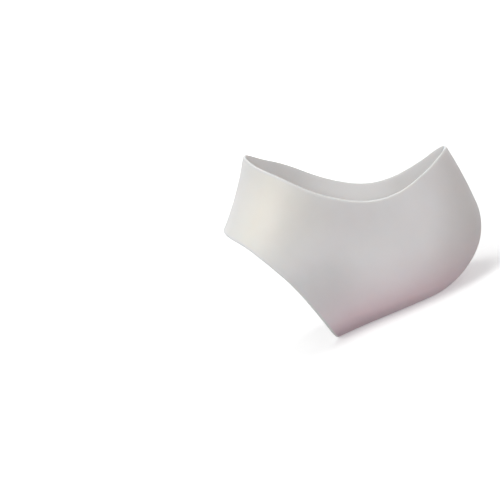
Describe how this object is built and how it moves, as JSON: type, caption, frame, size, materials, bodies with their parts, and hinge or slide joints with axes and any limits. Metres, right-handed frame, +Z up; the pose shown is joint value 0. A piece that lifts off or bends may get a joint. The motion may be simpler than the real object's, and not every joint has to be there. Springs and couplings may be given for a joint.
{
  "type": "heel protector",
  "caption": "Seamless moulded silicone heel sleeve: a cup round the heel and sole with a band over the instep, open at the ankle and at the forefoot.",
  "frame": {"origin": "middle of the object's length and width, on the surface that the sole stands on", "axes": "+Z up from the sole, +Y towards the back of the heel, -Y towards the toes, X across the foot"},
  "size_m": [0.0646, 0.1088, 0.0918],
  "materials": {
    "silicone": "satin milky translucent silicone"
  },
  "bodies": {
    "root": {"heel_sleeve": "silicone"}
  },
  "joints": []
}
